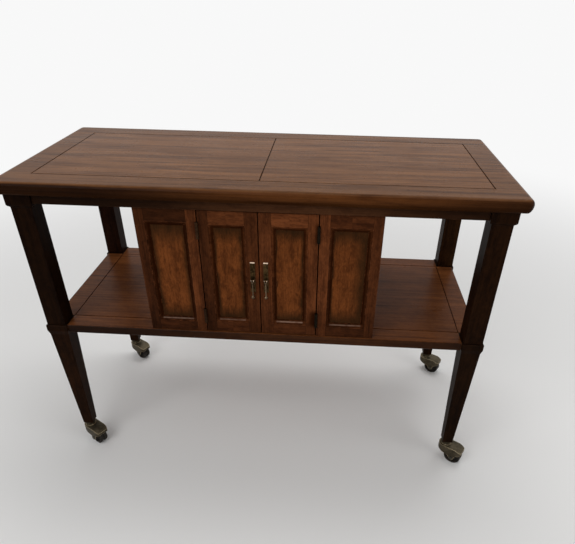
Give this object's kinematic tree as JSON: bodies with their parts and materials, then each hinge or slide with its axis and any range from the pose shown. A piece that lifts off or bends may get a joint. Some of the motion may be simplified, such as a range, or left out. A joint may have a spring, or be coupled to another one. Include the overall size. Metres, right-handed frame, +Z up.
{
  "type": "bar cart cabinet",
  "caption": "Rolling bar cart with a long moulded top, an open lower shelf and a small cabinet with hinged doors between square posts, on tapered legs with hooded swivel casters.",
  "frame": {"origin": "on the floor under the centre of the cart", "axes": "+X along the cart to the right as the doors are seen from the front, +Y from the doors to the back, +Z up"},
  "size_m": [1.22, 0.526, 0.841],
  "materials": {
    "walnut_wood": "glossy dark walnut lacquer",
    "panel_wood": "satin walnut, darker towards the edges",
    "plain_wood": "unfinished",
    "antique_brass": "antiqued, dark in the recesses",
    "dark_brass": "dark antiqued",
    "plain_steel": "plain",
    "wheel_rubber": "matt"
  },
  "bodies": {
    "cart": {"top_slab": "walnut_wood", "apron_front": "walnut_wood", "apron_back": "walnut_wood", "apron_left": "walnut_wood", "apron_right": "walnut_wood", "post_front_left": "walnut_wood", "post_front_right": "walnut_wood", "post_rear_left": "walnut_wood", "post_rear_right": "walnut_wood", "leg_front_left": "walnut_wood", "leg_front_right": "walnut_wood", "leg_rear_left": "walnut_wood", "leg_rear_right": "walnut_wood", "lower_shelf": "walnut_wood", "cabinet_side_left": "walnut_wood", "cabinet_side_right": "walnut_wood", "cabinet_back": "walnut_wood", "fixed_frame_left": "walnut_wood", "fixed_frame_right": "walnut_wood", "fixed_panel_left": "panel_wood", "fixed_panel_right": "panel_wood", "door_catch": "plain_wood", "hinge_jamb_leaf_lower_left": "dark_brass", "hinge_jamb_leaf_lower_right": "dark_brass", "hinge_jamb_leaf_upper_left": "dark_brass", "hinge_jamb_leaf_upper_right": "dark_brass", "caster_collar_front_left": "antique_brass", "caster_collar_front_right": "antique_brass", "caster_collar_rear_left": "antique_brass", "caster_collar_rear_right": "antique_brass"},
    "door_left": {"door_frame_left": "walnut_wood", "door_panel_left": "panel_wood", "hinge_door_leaf_lower_left": "dark_brass", "hinge_door_leaf_upper_left": "dark_brass", "pull_plate_left": "antique_brass", "catch_strike_left": "plain_steel"},
    "door_right": {"door_frame_right": "walnut_wood", "door_panel_right": "panel_wood", "hinge_door_leaf_lower_right": "dark_brass", "hinge_door_leaf_upper_right": "dark_brass", "pull_plate_right": "antique_brass", "catch_strike_right": "plain_steel"},
    "pendant_left": {"pull_pendant_left": "antique_brass"},
    "pendant_right": {"pull_pendant_right": "antique_brass"},
    "swivel_front_left": {"caster_hood_front_left": "antique_brass", "caster_axle_front_left": "plain_steel"},
    "swivel_front_right": {"caster_hood_front_right": "antique_brass", "caster_axle_front_right": "plain_steel"},
    "swivel_rear_left": {"caster_hood_rear_left": "antique_brass", "caster_axle_rear_left": "plain_steel"},
    "swivel_rear_right": {"caster_hood_rear_right": "antique_brass", "caster_axle_rear_right": "plain_steel"},
    "wheel_front_left": {"caster_wheel_front_left": "wheel_rubber"},
    "wheel_front_right": {"caster_wheel_front_right": "wheel_rubber"},
    "wheel_rear_left": {"caster_wheel_rear_left": "wheel_rubber"},
    "wheel_rear_right": {"caster_wheel_rear_right": "wheel_rubber"}
  },
  "joints": [
    {"name": "door_left_hinge", "type": "hinge", "parent": "cart", "child": "door_left", "pos_m": [-0.1434, -0.2439, 0.61675], "axis": [0, 0, -1], "range_deg": [0, 155]},
    {"name": "door_right_hinge", "type": "hinge", "parent": "cart", "child": "door_right", "pos_m": [0.1434, -0.2439, 0.61675], "axis": [0, 0, 1], "range_deg": [0, 155]},
    {"name": "pull_left_swing", "type": "hinge", "parent": "door_left", "child": "pendant_left", "pos_m": [-0.0163, -0.2491, 0.611], "axis": [-1, 0, 0], "range_deg": [0, 85]},
    {"name": "pull_right_swing", "type": "hinge", "parent": "door_right", "child": "pendant_right", "pos_m": [0.0163, -0.2491, 0.611], "axis": [-1, 0, 0], "range_deg": [0, 85]},
    {"name": "swivel_front_left_turn", "type": "hinge", "parent": "cart", "child": "swivel_front_left", "pos_m": [-0.555, -0.2205, 0.072], "axis": [0, 0, 1], "continuous": true},
    {"name": "swivel_front_right_turn", "type": "hinge", "parent": "cart", "child": "swivel_front_right", "pos_m": [0.555, -0.2205, 0.072], "axis": [0, 0, 1], "continuous": true},
    {"name": "swivel_rear_left_turn", "type": "hinge", "parent": "cart", "child": "swivel_rear_left", "pos_m": [-0.555, 0.2205, 0.072], "axis": [0, 0, 1], "continuous": true},
    {"name": "swivel_rear_right_turn", "type": "hinge", "parent": "cart", "child": "swivel_rear_right", "pos_m": [0.555, 0.2205, 0.072], "axis": [0, 0, 1], "continuous": true},
    {"name": "wheel_front_left_roll", "type": "hinge", "parent": "swivel_front_left", "child": "wheel_front_left", "pos_m": [-0.53041, -0.23587, 0.025], "axis": [0.5299, 0.848, 0], "continuous": true},
    {"name": "wheel_front_right_roll", "type": "hinge", "parent": "swivel_front_right", "child": "wheel_front_right", "pos_m": [0.57959, -0.23587, 0.025], "axis": [0.5299, 0.848, 0], "continuous": true},
    {"name": "wheel_rear_left_roll", "type": "hinge", "parent": "swivel_rear_left", "child": "wheel_rear_left", "pos_m": [-0.53041, 0.20513, 0.025], "axis": [0.5299, 0.848, 0], "continuous": true},
    {"name": "wheel_rear_right_roll", "type": "hinge", "parent": "swivel_rear_right", "child": "wheel_rear_right", "pos_m": [0.57959, 0.20513, 0.025], "axis": [0.5299, 0.848, 0], "continuous": true}
  ]
}
